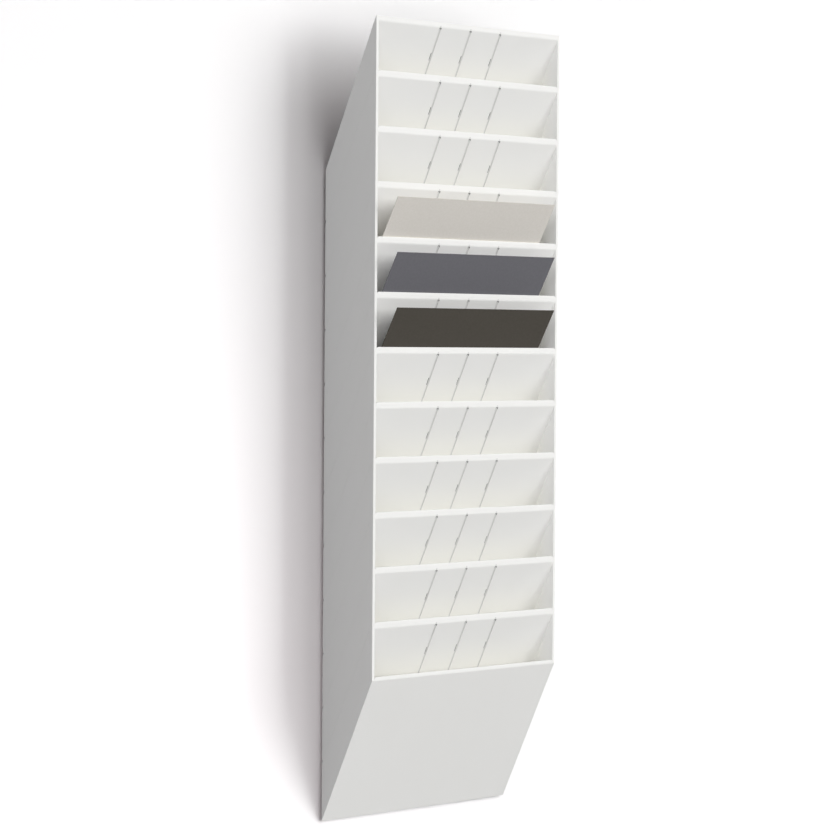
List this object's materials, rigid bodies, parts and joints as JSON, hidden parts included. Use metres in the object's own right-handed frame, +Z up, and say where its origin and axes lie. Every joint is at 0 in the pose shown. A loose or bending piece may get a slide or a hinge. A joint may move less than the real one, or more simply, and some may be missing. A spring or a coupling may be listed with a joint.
{
  "type": "pigeonhole unit",
  "caption": "Tall white wall-hung pigeonhole unit of stacked slanting A4 landscape pockets, open at the front, with coloured insert sheets that pull up and out.",
  "frame": {"origin": "on the wall plane, at the middle of the rectangle of the four fixing holes in the top and the bottom tray", "axes": "+X to the viewer's right, +Y into the wall, +Z up"},
  "size_m": [0.348, 0.1399, 1.1196],
  "materials": {
    "white_moulding": "satin",
    "warm_grey_card": "matte",
    "slate_grey_card": "matte",
    "dark_olive_card": "matte"
  },
  "bodies": {
    "unit": {"tray_01": "white_moulding", "tray_02": "white_moulding", "tray_03": "white_moulding", "tray_04": "white_moulding", "tray_05": "white_moulding", "tray_06": "white_moulding", "tray_07": "white_moulding", "tray_08": "white_moulding", "tray_09": "white_moulding", "tray_10": "white_moulding", "tray_11": "white_moulding", "tray_12": "white_moulding", "top_cover": "white_moulding"},
    "sheet_04": {"insert_sheet_04": "warm_grey_card"},
    "sheet_05": {"insert_sheet_05": "slate_grey_card"},
    "sheet_06": {"insert_sheet_06": "dark_olive_card"}
  },
  "joints": [
    {"name": "sheet_04_pull", "type": "slide", "parent": "unit", "child": "sheet_04", "axis": [0, -0.515, 0.8572], "range_m": [0, 0.165]},
    {"name": "sheet_05_pull", "type": "slide", "parent": "unit", "child": "sheet_05", "axis": [0, -0.515, 0.8572], "range_m": [0, 0.165]},
    {"name": "sheet_06_pull", "type": "slide", "parent": "unit", "child": "sheet_06", "axis": [0, -0.515, 0.8572], "range_m": [0, 0.165]}
  ]
}
